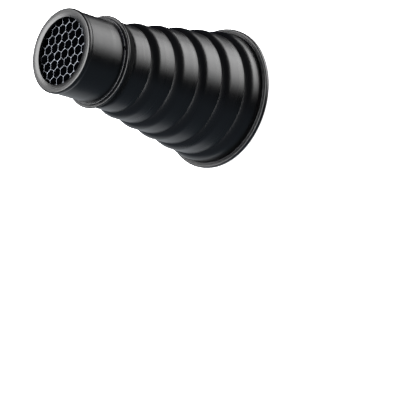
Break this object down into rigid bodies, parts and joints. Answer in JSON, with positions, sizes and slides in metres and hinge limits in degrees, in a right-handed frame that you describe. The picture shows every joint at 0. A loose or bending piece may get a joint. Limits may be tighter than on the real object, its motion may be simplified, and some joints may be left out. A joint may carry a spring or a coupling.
{
  "type": "flash snoot",
  "caption": "Conical spun-metal snoot with stepped ribs, a rear bayonet rim, a lipped neck and a removable front tube holding a honeycomb grid.",
  "frame": {"origin": "centre of the flat rear face, on the snoot's axis, so that the row stands on its rear rim", "axes": "+Z runs along the snoot's axis from the rear rim to the front opening; the lock notch in the bayonet ring looks towards +X"},
  "size_m": [0.095, 0.095, 0.1388],
  "materials": {
    "black_shell": "satin-gloss black coating on spun aluminium",
    "black_plate": "matt black coating on aluminium sheet",
    "cast_ring": "machined die-cast aluminium",
    "spring_steel": "bright spring steel",
    "screw_steel": "plated steel",
    "fibre": "pressed fibre sheet",
    "felt": "black wool felt",
    "foil": "dark anodised foil"
  },
  "bodies": {
    "snoot_body": {"cone_shell": "black_shell", "rim_binding": "black_shell", "back_plate": "black_plate", "plate_gasket": "fibre", "bayonet_ring": "cast_ring", "leaf_spring_1": "spring_steel", "leaf_spring_2": "spring_steel", "leaf_spring_3": "spring_steel", "spring_screws": "screw_steel", "bayonet_screws": "screw_steel", "neck_collar": "black_shell", "collar_screws": "screw_steel"},
    "stop_ring": {"stop_ring": "spring_steel"},
    "grid_cartridge": {"grid_tube": "black_shell", "felt_band": "felt", "front_spacer": "black_plate", "core_hoop": "foil", "core_washer": "black_plate", "core_snap_ring": "spring_steel", "honeycomb_core": "foil"}
  },
  "joints": [
    {"name": "grid_pull", "type": "slide", "parent": "snoot_body", "child": "stop_ring", "axis": [0, 0, 1], "range_m": [0, 0.03]},
    {"name": "grid_turn", "type": "hinge", "parent": "stop_ring", "child": "grid_cartridge", "pos_m": [0, 0, 0.1088], "axis": [0, 0, 1], "continuous": true}
  ]
}
